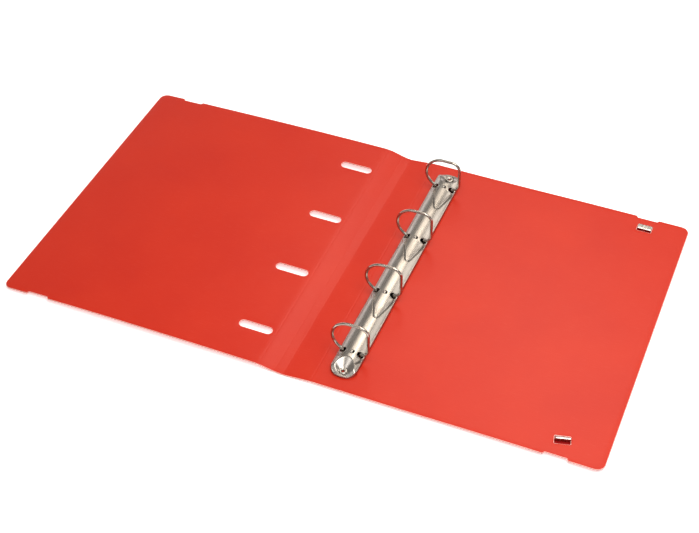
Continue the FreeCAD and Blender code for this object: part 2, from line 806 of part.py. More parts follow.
def spine_layout():
    """Crease lines (x, z) on the inner faces, and the slope of each panel in radians.

    A slope is positive where the panel climbs towards the front cover's fore-edge.
    """
    thickness = dimension("sheet_thickness").value
    back_face = dimension("cord_diameter").value + thickness
    heights = [
        back_face,
        thickness + dimension("floor_gap").value,
        dimension("middle_crease_rise").value,
        dimension("front_crease_rise").value,
    ]
    widths = [
        dimension("rear_panel_width").value,
        dimension("centre_strip_width").value,
        dimension("front_panel_width").value,
        dimension("cover_width").value,
    ]
    rises = [heights[i + 1] - heights[i] for i in range(3)]
    rises.append(thickness - heights[3])
    slopes = [math.asin(rise / width) for rise, width in zip(rises, widths)]
    runs = [width * math.cos(slope) for width, slope in zip(widths, slopes)]
    span = sum(runs) + dimension("cover_width").value
    rear_x = span / 2 - dimension("cover_width").value
    creases = []
    for index, height in enumerate(heights):
        creases.append((rear_x - sum(runs[:index]), height))
    return creases, slopes


def build():
    """Make every piece, put it in place and return the pieces to write."""
    creases, slopes = spine_layout()
    rear, middle_rear, middle_front, front = creases
    pieces = []

    back_cover = make_back_cover()
    place(back_cover, rear[0], 0, rear[1])
    pieces.append(back_cover)

    panels = [
        make_spine_panel("rear_spine_panel", dimension("rear_panel_width")),
        make_spine_panel("centre_spine_strip", dimension("centre_strip_width")),
        make_spine_panel("front_spine_panel", dimension("front_panel_width")),
        make_front_cover(),
    ]
    for panel, crease, slope in zip(panels, creases, slopes):
        place(panel, crease[0], 0, crease[1], tilt=slope)
    pieces += panels

    web_names = ["rear_crease_web", "rear_middle_crease_web", "front_middle_crease_web",
                 "front_crease_web"]
    for index, (label, crease) in enumerate(zip(web_names, creases)):
        before = slopes[index - 1] if index else 0.0
        web = make_crease_web(label, slopes[index] - before)
        lean = (slopes[index] + before) / 2
        upright = Rotation(SIDEWAYS, math.degrees(lean)) * Rotation(Vector(1, 0, 0), 90)
        web.Placement = Placement(Vector(crease[0], 0, crease[1]), upright)
        pieces.append(web)

    middle = rear[0] + dimension("housing_inset").value
    face = rear[1]
    housing = make_ring_housing()
    place(housing, middle, 0, face)
    pieces.append(housing)

    pivot = plate_pivot_offset().value
    pivot_height = face + dimension("plate_pivot_height").value
    tilt = math.radians(dimension("plate_tilt").value)
    for label, side in (("left_hinge_plate", NEGATIVE_X), ("right_hinge_plate", POSITIVE_X)):
        plate = make_hinge_plate(label, side)
        place(plate, middle + side * pivot, 0, pivot_height, tilt=-side * tilt)
        pieces.append(plate)

    halves = (("left_half_ring", left_half_path, NEGATIVE_X),
              ("right_half_ring", right_half_path, POSITIVE_X))
    for label, draw_path, side in halves:
        for ring, step in zip(make_half_rings(label, draw_path, side), RING_STEPS):
            place(ring, middle, dimension("ring_pitch").value * step, face)
            pieces.append(ring)

    rivet_ends = (("near", -dimension("rivet_near_reach").value),
                  ("far", dimension("rivet_far_reach").value))
    for end, y in rivet_ends:
        rivet = make_rivet(f"{end}_rivet")
        place(rivet, middle, y, face)
        cap = make_rivet_cap(f"{end}_rivet_cap")
        place(cap, middle, y, 0)
        pieces += [rivet, cap]

    anchor_x = rear[0] + dimension("cover_width").value - dimension("anchor_inset").value
    strap = make_elastic_strap()
    place(strap, anchor_x, 0, 0)
    pieces.append(strap)
    near_bar = make_strap_bar("near_strap_bar")
    place(near_bar, anchor_x, -dimension("anchor_near_reach").value,
          face + dimension("near_bar_rise").value, turn=dimension("near_bar_turn").value)
    lean = Rotation(Vector(1, 0, 0), -dimension("near_bar_tilt").value)
    near_bar.Placement.Rotation = near_bar.Placement.Rotation * lean
    far_bar = make_strap_bar("far_strap_bar")
    place(far_bar, anchor_x, dimension("anchor_far_reach").value, face)
    pieces += [near_bar, far_bar]

    for name, crease, slope in zip(("rear", "middle_rear", "middle_front", "front"), creases, slopes):
        print(f"crease {name}: x {crease[0]:.4f} z {crease[1]:.4f} slope {math.degrees(slope):.4f} deg")
    print(f"housing middle x {middle:.4f} face z {face:.4f}")
    print(f"plate pivots x {middle - pivot:.4f} and {middle + pivot:.4f} z {pivot_height:.4f}")
    return pieces


def check(pieces):
    """Stop on any failed object, empty shape or invalid solid."""
    for item in doc.Objects:
        if {"Invalid", "Error"} & set(item.State):
            raise RuntimeError(f"{item.Name} failed: {item.State}")
    for piece in pieces:
        shape = piece.Shape
        if shape.isNull() or not shape.isValid() or len(shape.Solids) != 1:
            raise RuntimeError(f"{piece.Label} is not one valid solid")


def write(pieces):
    os.makedirs("parts", exist_ok=True)
    for piece in pieces:
        piece.Shape.exportStep(f"parts/{piece.Label}.step")
        box = piece.Shape.BoundBox
        print(f"{piece.Label:26s} x {box.XMin:8.2f} {box.XMax:8.2f}  y {box.YMin:8.2f} {box.YMax:8.2f}"
              f"  z {box.ZMin:7.3f} {box.ZMax:7.3f}  volume {piece.Shape.Volume:10.1f}")


RING_STEPS = (-1.5, -0.5, 0.5, 1.5)

fill_sheet()
sub_parts = build()
doc.recompute()
check(sub_parts)
write(sub_parts)
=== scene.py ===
import json
import math

import bpy
import numpy as np
from mathutils import Matrix, Vector
from mathutils.geometry import delaunay_2d_cdt


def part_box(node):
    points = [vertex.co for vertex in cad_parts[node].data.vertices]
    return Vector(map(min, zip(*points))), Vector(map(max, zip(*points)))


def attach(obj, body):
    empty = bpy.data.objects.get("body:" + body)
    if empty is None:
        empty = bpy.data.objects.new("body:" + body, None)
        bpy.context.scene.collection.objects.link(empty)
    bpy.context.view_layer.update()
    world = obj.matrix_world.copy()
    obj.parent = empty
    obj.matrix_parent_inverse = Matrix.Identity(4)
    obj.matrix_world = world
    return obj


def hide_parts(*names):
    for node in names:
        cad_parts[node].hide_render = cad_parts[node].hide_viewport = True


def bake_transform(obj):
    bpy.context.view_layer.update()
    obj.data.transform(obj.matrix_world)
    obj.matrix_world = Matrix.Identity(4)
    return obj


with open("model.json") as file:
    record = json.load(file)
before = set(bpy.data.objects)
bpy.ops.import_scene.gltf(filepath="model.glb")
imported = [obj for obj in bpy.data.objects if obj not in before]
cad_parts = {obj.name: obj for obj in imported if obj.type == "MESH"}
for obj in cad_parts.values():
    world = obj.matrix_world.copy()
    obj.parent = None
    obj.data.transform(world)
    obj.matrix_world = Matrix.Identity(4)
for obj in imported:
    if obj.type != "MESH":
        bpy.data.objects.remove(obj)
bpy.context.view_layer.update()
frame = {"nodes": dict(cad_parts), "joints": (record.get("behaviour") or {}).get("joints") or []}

# Lengths below are millimetres in the row frame; meshes are written in metres.
MM = 0.001
SHEET = 1.2
CUT_RADIUS = 0.45
NOTHING = 1e-6
MERGE = 1e-7


# ------------------------------------------------------------------ reading the frame

def node_box(node):
    low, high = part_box(node)
    return np.array(low) / MM, np.array(high) / MM


JOINTS = {j["name"]: np.array(j["pos_m"]) / MM for j in frame["joints"]}
FRONT = JOINTS["front_crease"]
MIDDLE_FRONT = JOINTS["front_middle_crease"]
MIDDLE_REAR = JOINTS["rear_middle_crease"]
REAR = JOINTS["rear_crease"]
FRONT_EDGE = node_box("front_cover")[0][0]
BACK_EDGE = node_box("back_cover")[1][0]
HALF_HEIGHT = node_box("back_cover")[1][1]
HOUSING_LOW, HOUSING_HIGH = node_box("ring_housing")
HOUSING_X = (HOUSING_LOW[0] + HOUSING_HIGH[0]) / 2
FACE = REAR[2]
UNDERSIDE = FACE - SHEET
RING_SPACING = 80.0
RING_Y = [RING_SPACING * k for k in (-1.5, -0.5, 0.5, 1.5)]


# ------------------------------------------------------------------ mesh helpers

def make_object(name, points, faces, marks=None, sharp=50.0):
    """Smooth mesh object from points in mm; marks are material numbers, one per face."""
    mesh = bpy.data.meshes.new(name)
    mesh.from_pydata((np.asarray(points, float) * MM).tolist(), [], faces)
    mesh.polygons.foreach_set("use_smooth", [True] * len(mesh.polygons))
    if marks is not None:
        mesh.polygons.foreach_set("material_index", marks)
    mesh.set_sharp_from_angle(angle=math.radians(sharp))
    layer = mesh.uv_layers.new(name="plan")
    corner = np.zeros(len(mesh.loops), int)
    mesh.loops.foreach_get("vertex_index", corner)
    flat = np.asarray(points, float)[corner]
    uv = np.stack([flat[:, 0], flat[:, 1] + flat[:, 2]], 1) / 100.0
    layer.data.foreach_set("uv", uv.ravel())
    mesh.validate()
    mesh.update()
    thing = bpy.data.objects.new(name, mesh)
    bpy.context.scene.collection.objects.link(thing)
    return thing


def finish_piece(thing, body, materials, nodes=()):
    """Give a piece its materials and its body if it has one, and hide the CAD nodes that it stands in for."""
    for material in materials:
        thing.data.materials.append(material)
    if body:
        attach(thing, body)
    if nodes:
        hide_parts(*nodes)
    return thing


def unit(v):
    return v / np.linalg.norm(v, axis=-1, keepdims=True)


def offset_loop(loop, distance, seams=()):
    """A closed loop moved towards the material on its left; seam lines keep their x."""
    here = np.asarray(loop, float)
    into = unit(here - np.roll(here, 1, 0))
    out = unit(np.roll(here, -1, 0) - here)
    a = np.stack([-into[:, 1], into[:, 0]], 1)
    b = np.stack([-out[:, 1], out[:, 0]], 1)
    moved = here + distance * (a + b) / (1 + (a * b).sum(1))[:, None]
    for seam in seams:
        moved[np.abs(here[:, 0] - seam) < NOTHING, 0] = seam
    return moved


def inside(points, loops):
    """Even-odd test of points against closed loops."""
    points = np.asarray(points, float)
    odd = np.zeros(len(points), bool)
    for loop in loops:
        a = np.asarray(loop, float)
        b = np.roll(a, -1, 0)
        for (x0, y0), (x1, y1) in zip(a, b):
            if y0 == y1:
                continue
            cross = (points[:, 1] > min(y0, y1)) & (points[:, 1] <= max(y0, y1))
            x = x0 + (points[:, 1] - y0) * (x1 - x0) / (y1 - y0)
            odd ^= cross & (points[:, 0] < x)
    return odd


def clear_of(points, loops, distance):
    """Points no nearer than distance to any loop."""
    keep = np.ones(len(points), bool)
    for loop in loops:
        a = np.asarray(loop, float)
        d = np.roll(a, -1, 0) - a
        for start, run in zip(a, d):
            near = np.abs(points - start - run / 2).max(1) < np.abs(run).max() / 2 + distance
            if not near.any():
                continue
            some = points[near]
            t = np.clip(((some - start) @ run) / (run @ run), 0, 1)
            gap = np.linalg.norm(some - start - t[:, None] * run, axis=1)
            index = np.nonzero(near)[0]
            keep[index[gap < distance]] = False
    return keep


def triangulate(loops, extra):
    """Points and upward triangles of the area between the loops, with extra points inside it."""
    coords = []
    edges = []
    for loop in loops:
        first = len(coords)
        count = len(loop)
        coords += [Vector(p) for p in loop]
        edges += [(first + i, first + (i + 1) % count) for i in range(count)]
    coords += [Vector(p) for p in extra]
    found = delaunay_2d_cdt(coords, edges, [], 0, MERGE, True)
    source = [ids[0] for ids in found[3]]
    triangles = np.array([[source[v] for v in face] for face in found[2]])
    flat = np.array([tuple(c) for c in coords])
    keep = inside(flat[triangles].mean(1), loops)
    triangles = triangles[keep]
    p, q, r = (flat[triangles[:, k]] for k in range(3))
    turn = (q[:, 0] - p[:, 0]) * (r[:, 1] - p[:, 1]) - (q[:, 1] - p[:, 1]) * (r[:, 0] - p[:, 0])
    triangles[turn < 0] = triangles[turn < 0][:, ::-1]
    return flat, triangles


def plate(name, loops, grid, top, bottom, radius, seams=(), steps=3, gap=1.0):
    """Closed plate with rounded cut edges between two height functions.

    Loops keep the material on their left. Material 1 is the edge's upper rounding, 2 the rest of the edge;
    the sheet pieces give 1 a painted highlight and 2 painted shade.
    """
    inner = [offset_loop(loop, radius, seams) for loop in loops]
    grid = np.asarray(grid, float)
    grid = grid[inside(grid, inner)]
    grid = grid[clear_of(grid, inner, gap)]
    flat, triangles = triangulate(inner, grid)
    count = len(flat)
    upper = np.column_stack([flat, top(flat[:, 0], flat[:, 1])])
    lower = np.column_stack([flat, bottom(flat[:, 0], flat[:, 1])])
    points = [upper, lower]
    faces = triangles.tolist() + (triangles[:, ::-1] + count).tolist()
    marks = [0] * len(faces)
    first = 0
    total = 2 * count
    for loop in loops:
        size = len(loop)
        rings = [np.arange(first, first + size)]
        turns = [math.pi / 2 * k / steps for k in range(1, steps + 1)]
        levels = [(1 - math.sin(t), 1 - math.cos(t), True) for t in turns]
        levels += [(1 - math.sin(t), 1 - math.cos(t), False) for t in reversed(turns)]
        for inset, drop, high in levels:
            ring = offset_loop(loop, radius * inset, seams)
            if high:
                level = top(ring[:, 0], ring[:, 1]) - radius * drop
            else:
                level = bottom(ring[:, 0], ring[:, 1]) + radius * drop
            points.append(np.column_stack([ring, level]))
            rings.append(np.arange(total, total + size))
            total += size
        rings.append(np.arange(first, first + size) + count)
        for level, (a, b) in enumerate(zip(rings[:-1], rings[1:])):
            for i in range(size):
                j = (i + 1) % size
                faces.append([int(b[i]), int(b[j]), int(a[j]), int(a[i])])
                marks.append(1 if level < steps else 2)
        first += size
    return make_object(name, np.vstack(points), faces, marks)


def arc_points(centre, radius, start, end, count):
    """Points along an arc between two angles in degrees, both ends included."""
    turns = [math.radians(start + (end - start) * k / count) for k in range(count + 1)]
    return [(centre[0] + radius * math.cos(t), centre[1] + radius * math.sin(t)) for t in turns]


def tube(name, path, radius, sides=20, tip=0.25):
    """Round wire along points in mm; its first end is eased over tip."""
    path = np.asarray(path, float)
    along = unit(np.gradient(path, axis=0))
    across = np.array([0.0, 1.0, 0.0])
    points = []
    rings = []

    def add_ring(centre, direction, size):
        up = unit(np.cross(direction, across))
        rings.append(len(points))
        for k in range(sides):
            turn = 2 * math.pi * k / sides
            points.append(centre + size * (math.cos(turn) * across + math.sin(turn) * up))

    for share in (0.0, 0.35, 0.7):
        lift = tip * (1 - math.sqrt(1 - (1 - share) ** 2))
        add_ring(path[0] + along[0] * tip * share, along[0], radius - lift)
    for centre, direction in zip(path[1:-1], along[1:-1]):
        add_ring(centre, direction, radius)
    add_ring(path[-1], along[-1], radius)
    faces = []
    for a, b in zip(rings[:-1], rings[1:]):
        for k in range(sides):
            n = (k + 1) % sides
            faces.append([a + k, b + k, b + n, a + n])
    faces.append([rings[0] + k for k in range(sides)])
    faces.append([rings[-1] + k for k in reversed(range(sides))])
    return make_object(name, points, faces, sharp=60)


def lathe(name, outline, middle, sides=40):
    """A closed outline of (radius, height) turned about the vertical through middle."""
    points = []
    for r, z in outline:
        for k in range(sides):
            turn = 2 * math.pi * k / sides
            points.append((middle[0] + r * math.cos(turn), middle[1] + r * math.sin(turn), middle[2] + z))
    faces = []
    count = len(outline)
    for row in range(count):
        after = (row + 1) % count
        for k in range(sides):
            n = (k + 1) % sides
            faces.append([row * sides + k, row * sides + n, after * sides + n, after * sides + k])
    return make_object(name, points, faces, sharp=45)


# ------------------------------------------------------------------ materials

def colour(red, green, blue):
    """Linear colour from display values 0 to 255."""
    linear = [c / 255 / 12.92 if c <= 10 else ((c / 255 + 0.055) / 1.055) ** 2.4 for c in (red, green, blue)]
    return tuple(linear) + (1.0,)


class Shader:
    """A principled material whose colour, roughness and bump come from procedural textures."""

    def __init__(self, name, coordinates="Object"):
        self.material = bpy.data.materials.new(name)
        self.material.use_nodes = True
        self.tree = self.material.node_tree
        self.shader = self.tree.nodes["Principled BSDF"]
        self.where = self.tree.nodes.new("ShaderNodeTexCoord").outputs[coordinates]

    def link(self, a, b):
        self.tree.links.new(a, b)

    def set(self, **values):
        for key, value in values.items():
            self.shader.inputs[key.replace("_", " ")].default_value = value

    def scaled(self, scale):
        node = self.tree.nodes.new("ShaderNodeMapping")
        node.inputs["Scale"].default_value = scale
        self.link(self.where, node.inputs["Vector"])
        return node.outputs["Vector"]

    def noise(self, scale, detail=3.0, rough=0.5, stretch=None):
        node = self.tree.nodes.new("ShaderNodeTexNoise")
        node.inputs["Scale"].default_value = scale
        node.inputs["Detail"].default_value = detail
        node.inputs["Roughness"].default_value = rough
        self.link(self.scaled(stretch) if stretch else self.where, node.inputs["Vector"])
        return node.outputs["Fac"]

    def spread(self, value, low, high, start=0.3, end=0.7):
        node = self.tree.nodes.new("ShaderNodeMapRange")
        node.inputs["From Min"].default_value = start
        node.inputs["From Max"].default_value = end
        node.inputs["To Min"].default_value = low
        node.inputs["To Max"].default_value = high
        self.link(value, node.inputs["Value"])
        return node.outputs["Result"]

    def blend_colours(self, share, first, second):
        node = self.tree.nodes.new("ShaderNodeMix")
        node.data_type = "RGBA"
        self.link(share, node.inputs["Factor"])
        sockets = [entry for entry in node.inputs if entry.type == "RGBA"]
        for socket, value in zip(sockets, (first, second)):
            if isinstance(value, tuple):
                socket.default_value = value
            else:
                self.link(value, socket)
        return next(entry for entry in node.outputs if entry.type == "RGBA")

    def bump(self, height, distance, strength=1.0, after=None):
        node = self.tree.nodes.new("ShaderNodeBump")
        node.inputs["Strength"].default_value = strength
        node.inputs["Distance"].default_value = distance
        self.link(height, node.inputs["Height"])
        if after is not None:
            self.link(after, node.inputs["Normal"])
        return node.outputs["Normal"]

    def colour_from(self, socket):
        self.link(socket, self.shader.inputs["Base Color"])

    def roughness_from(self, socket):
        self.link(socket, self.shader.inputs["Roughness"])

    def normal_from(self, socket):
        self.link(socket, self.shader.inputs["Normal"])


def plastic(name, dark, light, rough=(0.36, 0.46)):
    """Coloured polypropylene sheet with a fine pressed grain, faint scuffs and slow unevenness."""
    s = Shader(name, "UV")
    patches = s.noise(1.3, 4.0)
    fine = s.noise(160.0, 2.0)
    scuffs = s.noise(9.0, 5.0, 0.6, (1.0, 14.0, 1.0))
    tone = s.blend_colours(s.spread(patches, 0.0, 1.0), dark, light)
    worn = s.blend_colours(s.spread(scuffs, 0.0, 0.06, 0.55, 0.8), tone, colour(255, 150, 130))
    s.colour_from(worn)
    s.roughness_from(s.spread(fine, *rough))
    waves = s.noise(2.2, 1.0)
    grain = s.bump(fine, 0.00006, 0.5)
    s.normal_from(s.bump(waves, 0.0008, 0.35, grain))
    s.set(IOR=1.49, Specular_IOR_Level=0.36)
    return s.material


EVEN = (1.0, 1.0, 1.0)


def metal(name, dark, light, rough, streaks=(1.0, 0.04, 1.0)):
    """Nickel plate with drawn streaks, slight clouding, uneven gloss and painted shade in any pressed grooves
    that its mesh marks.
    """
    s = Shader(name)
    drawn = s.noise(900.0, 3.0, 0.6, streaks)
    clouds = s.noise(60.0, 3.0)
    plated = s.blend_colours(s.spread(clouds, 0.0, 1.0), dark, light)
    # Painted shade: the 'pressed' point attribute darkens the grooves towards a dark grey brown.
    pressed = s.tree.nodes.new("ShaderNodeAttribute")
    pressed.attribute_name = "pressed"
    shade = s.spread(pressed.outputs["Fac"], 0.0, 0.75, 0.1, 0.9)
    s.colour_from(s.blend_colours(shade, plated, colour(78, 72, 64)))
    s.roughness_from(s.spread(drawn, *rough))
    s.normal_from(s.bump(drawn, 0.00002, 0.4))
    s.set(Metallic=1.0)
    return s.material


RED = plastic("red_sheet", colour(203, 37, 9), colour(209, 43, 12))
# Painted shade: the strap fold's darker red stands for the shade down in each strap window as well as the
# strap's own red.
STRAP_SHADE_RED = plastic("strap_fold_shade_red", colour(176, 10, 8), colour(190, 16, 12), (0.5, 0.65))
# Painted highlight: the pale pink of the cut edges' upper rounding stands for light catching the edge.
CUT_EDGE_HIGHLIGHT = plastic("red_cut_edge_painted_highlight", colour(255, 186, 176), colour(255, 204, 196), (0.5, 0.6))
# Painted shade: the dark brown of the rest of each cut edge stands for the edge's shade and contact shadow.
CUT_FACE_SHADE = plastic("red_cut_face_painted_shade", colour(84, 26, 20), colour(104, 34, 26), (0.6, 0.7))
NICKEL = metal("nickel_strip", colour(164, 157, 150), colour(176, 169, 162), (0.24, 0.32))
WIRE = metal("nickel_wire", colour(170, 160, 150), colour(186, 176, 166), (0.10, 0.16), EVEN)
RIVET = metal("nickel_rivet", colour(182, 176, 168), colour(198, 192, 184), (0.18, 0.28), EVEN)
BAR = metal("bright_bar", colour(186, 183, 176), colour(206, 203, 196), (0.20, 0.30), (0.05, 1.0, 1.0))


def elastic_material():
    """Red elastic with a fine diagonal braid."""
    s = Shader("braided_elastic")
    weave = s.tree.nodes.new("ShaderNodeTexWave")
    weave.bands_direction = "DIAGONAL"
    weave.inputs["Scale"].default_value = 420.0
    weave.inputs["Distortion"].default_value = 1.2
    s.link(s.where, weave.inputs["Vector"])
    threads = weave.outputs["Fac"]
    s.colour_from(s.blend_colours(threads, colour(150, 22, 20), colour(196, 40, 34)))
    s.roughness_from(s.spread(s.noise(700.0), 0.75, 0.9))
    s.normal_from(s.bump(threads, 0.00015, 0.8))
    s.set(Sheen_Weight=0.3)
    return s.material


ELASTIC = elastic_material()


# ------------------------------------------------------------------ the sheet

CREASES = [FRONT, MIDDLE_FRONT, MIDDLE_REAR, REAR]
EASE = (5.0, 3.6, 3.6, 4.0)
# Small lifts off flat: the front cover's bow and its drop at the fore-edge, the twist of the spine and
# the front cover beside it, and the back cover's rise beyond the rings.
FRONT_BOW, FRONT_DROP, TWIST, BACK_RISE = 3.4, 1.0, 0.8, 0.7


def ramp(t, half):
    """Zero before a crease and a straight climb after it, eased over half each way."""
    return np.where(t < -half, 0.0, np.where(t > half, t, (t + half) ** 2 / (4 * half)))


def smooth(t):
    t = np.clip(t, 0.0, 1.0)
    return t * t * (3 - 2 * t)


def bell(distance, width):
    return np.exp(-(distance / width) ** 2)


def sheet_height(x, y):
    """Inner face of the opened binder: flat panels with eased creases and gently sprung covers."""
    x = np.asarray(x, float)
    y = np.asarray(y, float)
    knots = [(FRONT_EDGE, SHEET)] + [(c[0], c[2]) for c in CREASES] + [(BACK_EDGE, FACE)]
    slopes = [(b[1] - a[1]) / (b[0] - a[0]) for a, b in zip(knots[:-1], knots[1:])]
    height = knots[0][1] + slopes[0] * (x - knots[0][0])
    for crease, half, before, after in zip(CREASES, EASE, slopes[:-1], slopes[1:]):
        height = height + (after - before) * ramp(x - crease[0], half)
    share = np.clip((FRONT[0] - x) / (FRONT[0] - FRONT_EDGE), 0.0, 1.0)
    height = height + FRONT_BOW * (1 - (1 - share) ** 2.2) - FRONT_DROP * share ** 3
    lean = smooth((MIDDLE_REAR[0] - x) / 20.0) * (1 - smooth((FRONT[0] - x) / 200.0))
    height = height + TWIST * lean * y / HALF_HEIGHT
    return height + BACK_RISE * smooth((x - 95.0) / 110.0)


def crease_bells(x, width):
    """One bell along each crease, added up."""
    return sum(bell(np.asarray(x, float) - crease[0], width) for crease in CREASES)


def face_height(x, y):
    return sheet_height(x, y) - 0.09 * crease_bells(x, 0.6)


def under_height(x, y):
    return sheet_height(x, y) - SHEET + 0.5 * crease_bells(x, 0.8)


FRONT_SEAM = (FRONT[0] + MIDDLE_FRONT[0]) / 2
CENTRE_SEAM = (MIDDLE_FRONT[0] + MIDDLE_REAR[0]) / 2
REAR_SEAM = (MIDDLE_REAR[0] + REAR[0]) / 2
ROWS = np.linspace(-HALF_HEIGHT, HALF_HEIGHT, 65)
FINE = np.array([0.0, 0.25, 0.5, 0.75, 1.0, 1.4, 1.8, 2.3, 3.0, 4.0])
CORNER = 8.0
SLOT_LENGTH, SLOT_WIDTH, SLOT_TO_CREASE = 32.0, 8.0, 4.5
NOTCH_LENGTH, NOTCH_DEPTH, NOTCH_SLOPE = 22.5, 2.3, 2.0
FRONT_NOTCH_INSET, BACK_NOTCH_INSET = 26.0, 30.0
WINDOW_LENGTH, WINDOW_WIDTH = 13.8, 8.4


def columns(low, high, step):
    """Grid columns: even steps, drawn close together at each crease."""
    count = max(2, int(round((high - low) / step)))
    even = np.linspace(low, high, count + 1)
    for crease in CREASES:
        if low < crease[0] < high:
            even = even[np.abs(even - crease[0]) > 5.0]
            near = np.concatenate([crease[0] - FINE, crease[0] + FINE])
            even = np.concatenate([even, near[(near > low + 0.4) & (near < high - 0.4)]])
    return np.unique(np.round(even, 4))


def grid_points(xs, ys):
    a, b = np.meshgrid(xs, ys)
    return np.column_stack([a.ravel(), b.ravel()])


def edge_with_notch(fore, seam, y, inset, xs):
    """Points along one long edge from the fore-edge side to the seam, with its strap notch."""
    way = 1 if seam > fore else -1
    inward = -1 if y > 0 else 1
    a = fore + way * inset
    b = a + way * NOTCH_LENGTH
    floor = y + inward * NOTCH_DEPTH
    eased = [(NOTCH_SLOPE * t, y + inward * NOTCH_DEPTH * float(smooth(t))) for t in (0.25, 0.5, 0.75, 1.0)]
    plain = [x for x in xs if (x - fore) * way > CORNER + 1 and (seam - x) * way > 0.3]
    before = [(x, y) for x in plain if (a - x) * way > 1.5]
    after = [(x, y) for x in plain if (x - b) * way > 1.5]
    dip = [(a, y)] + [(a + way * run, level) for run, level in eased]
    level_run = NOTCH_LENGTH - 2 * NOTCH_SLOPE
    flat = [(a + way * (NOTCH_SLOPE + level_run * t), floor) for t in (0.25, 0.5, 0.75)]
    rise = [(b - way * run, level) for run, level in reversed(eased)] + [(b, y)]
    points = before + dip + flat + rise + after
    return sorted(points, key=lambda p: p[0] * way)


def cover_loop(fore, seam, inset, xs):
    """Outline of a cover, counter-clockwise, from its fore-edge to the seam in the spine."""
    way = 1 if seam > fore else -1
    near = [(fore + way * CORNER, -HALF_HEIGHT)] + edge_with_notch(fore, seam, -HALF_HEIGHT, inset, xs)
    far = [(fore + way * CORNER, HALF_HEIGHT)] + edge_with_notch(fore, seam, HALF_HEIGHT, inset, xs)
    seam_side = [(seam, y) for y in ROWS]
    edge = [(fore, y) for y in ROWS if abs(y) < HALF_HEIGHT - CORNER - 1]
    if way > 0:
        corner_near = arc_points((fore + CORNER, CORNER - HALF_HEIGHT), CORNER, 180, 270, 8)[:-1]
        corner_far = arc_points((fore + CORNER, HALF_HEIGHT - CORNER), CORNER, 90, 180, 8)[1:]
        return near + seam_side + far[::-1] + corner_far + edge[::-1] + corner_near
    corner_near = arc_points((fore - CORNER, CORNER - HALF_HEIGHT), CORNER, 270, 360, 8)[1:]
    corner_far = arc_points((fore - CORNER, HALF_HEIGHT - CORNER), CORNER, 0, 90, 8)[:-1]
    return near[::-1] + corner_near + edge + corner_far + far + seam_side[::-1]


def slot_loop(x, y, length, width):
    """Round-ended hole, clockwise, long across the sheet."""
    r = width / 2
    half = length / 2 - r
    right = arc_points((x + half, y), r, 90, -90, 14)
    left = arc_points((x - half, y), r, 270, 90, 14)
    return right + left


def window_loop(x, y, length, width, corner):
    """Rounded rectangular hole, clockwise."""
    a = length / 2 - corner
    b = width / 2 - corner
    points = []
    for cx, cy, start in ((a, b, 90), (a, -b, 0), (-a, -b, -90), (-a, b, -180)):
        points += arc_points((x + cx, y + cy), corner, start, start - 90, 4)
    return points


def turned(loop, x, y, turn):
    """A loop about the origin, turned (degrees) and moved to a point."""
    c, s = math.cos(math.radians(turn)), math.sin(math.radians(turn))
    return [(x + c * a - s * b, y + s * a + c * b) for a, b in loop]


def circle_loop(x, y, radius, count=24):
    """Round hole, clockwise."""
    return arc_points((x, y), radius, 360, 0, count)[:-1]


def sheet_piece(piece, nodes):
    """Give a sheet piece its materials, hide the CAD nodes it stands in for and bake its placement into the
    mesh; it is attached to no body.
    """
    # The cut edges carry a painted highlight on their upper rounding and painted shade on the rest of the
    # edge.
    finish_piece(piece, None, [RED, CUT_EDGE_HIGHLIGHT, CUT_FACE_SHADE], nodes)
    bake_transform(piece)


front_columns = columns(FRONT_EDGE, FRONT_SEAM, 6.0)
front_loops = [cover_loop(FRONT_EDGE, FRONT_SEAM, FRONT_NOTCH_INSET, front_columns)]
slot_x = FRONT[0] - SLOT_TO_CREASE - SLOT_LENGTH / 2
front_loops += [slot_loop(slot_x, y, SLOT_LENGTH, SLOT_WIDTH) for y in RING_Y]
front_sheet = plate("front_cover_sheet", front_loops, grid_points(front_columns, ROWS),
                    face_height, under_height, CUT_RADIUS, (FRONT_SEAM,))
sheet_piece(front_sheet, ["front_cover", "front_crease_web", "front_spine_panel"])


def strip_loop(low, high, xs):
    """Outline of a spine strip, counter-clockwise from its near end."""
    inner = [x for x in xs if low + 0.3 < x < high - 0.3]
    near = [(x, -HALF_HEIGHT) for x in inner]
    far = [(x, HALF_HEIGHT) for x in reversed(inner)]
    return near + [(high, y) for y in ROWS] + far + [(low, y) for y in ROWS[::-1]]


def spine_strip(name, low, high, nodes):
    """Spine strip between two seams, so only its short ends are rounded."""
    xs = columns(low, high, 1.2)
    piece = plate(name, [strip_loop(low, high, xs)], grid_points(xs, ROWS), face_height, under_height,
                  CUT_RADIUS, (low, high), gap=0.3)
    sheet_piece(piece, nodes)


spine_strip("front_spine_fold", FRONT_SEAM, CENTRE_SEAM, ["front_middle_crease_web", "centre_spine_strip"])
spine_strip("rear_spine_fold", CENTRE_SEAM, REAR_SEAM, ["rear_middle_crease_web", "rear_spine_panel"])

back_columns = columns(REAR_SEAM, BACK_EDGE, 6.0)
back_loops = [cover_loop(BACK_EDGE, REAR_SEAM, BACK_NOTCH_INSET, back_columns)]
strap_low, strap_high = node_box("elastic_strap")
STRAP_X = (strap_low[0] + strap_high[0]) / 2
NEAR_ANCHOR = -138.2
FAR_ANCHOR = 145.2
ANCHOR_SHIFT = 1.6
